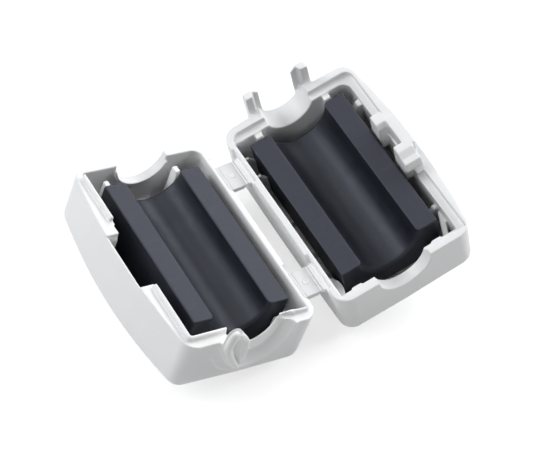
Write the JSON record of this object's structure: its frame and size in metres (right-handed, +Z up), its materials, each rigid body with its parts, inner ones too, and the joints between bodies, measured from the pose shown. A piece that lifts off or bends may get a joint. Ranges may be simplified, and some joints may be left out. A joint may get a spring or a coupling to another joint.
{
  "type": "clip-on ferrite bead",
  "caption": "Hinged plastic case with half a ferrite core in each half, standing open; it closes round a cable and latches to damp interference.",
  "frame": {"origin": "centre of the part's footprint on the surface that it stands on, midway between the two hinge films", "axes": "+X from half A to half B, +Y along the hinge and the cable towards the pair of prongs, +Z up"},
  "size_m": [0.0562, 0.0411, 0.0194],
  "materials": {
    "case": "fine texture",
    "ferrite": "ground and tumbled"
  },
  "bodies": {
    "hinge_pads": {"hinge_pad_far": "case", "hinge_pad_near": "case"},
    "half_a": {"case_half_a": "case", "core_a": "ferrite"},
    "half_b": {"case_half_b": "case", "core_b": "ferrite"}
  },
  "joints": [
    {"name": "fold_b", "type": "hinge", "parent": "hinge_pads", "child": "half_b", "pos_m": [0.0015, 0, 0.00893], "axis": [0, -1, 0], "range_deg": [-14.5, 75.5]},
    {"name": "fold_a", "type": "hinge", "parent": "hinge_pads", "child": "half_a", "pos_m": [-0.0015, 0, 0.00893], "axis": [0, 1, 0], "range_deg": [-14.5, 75.5]}
  ],
  "couplings": [
    {"joint": "fold_a", "follows": "fold_b", "ratio": 1}
  ]
}
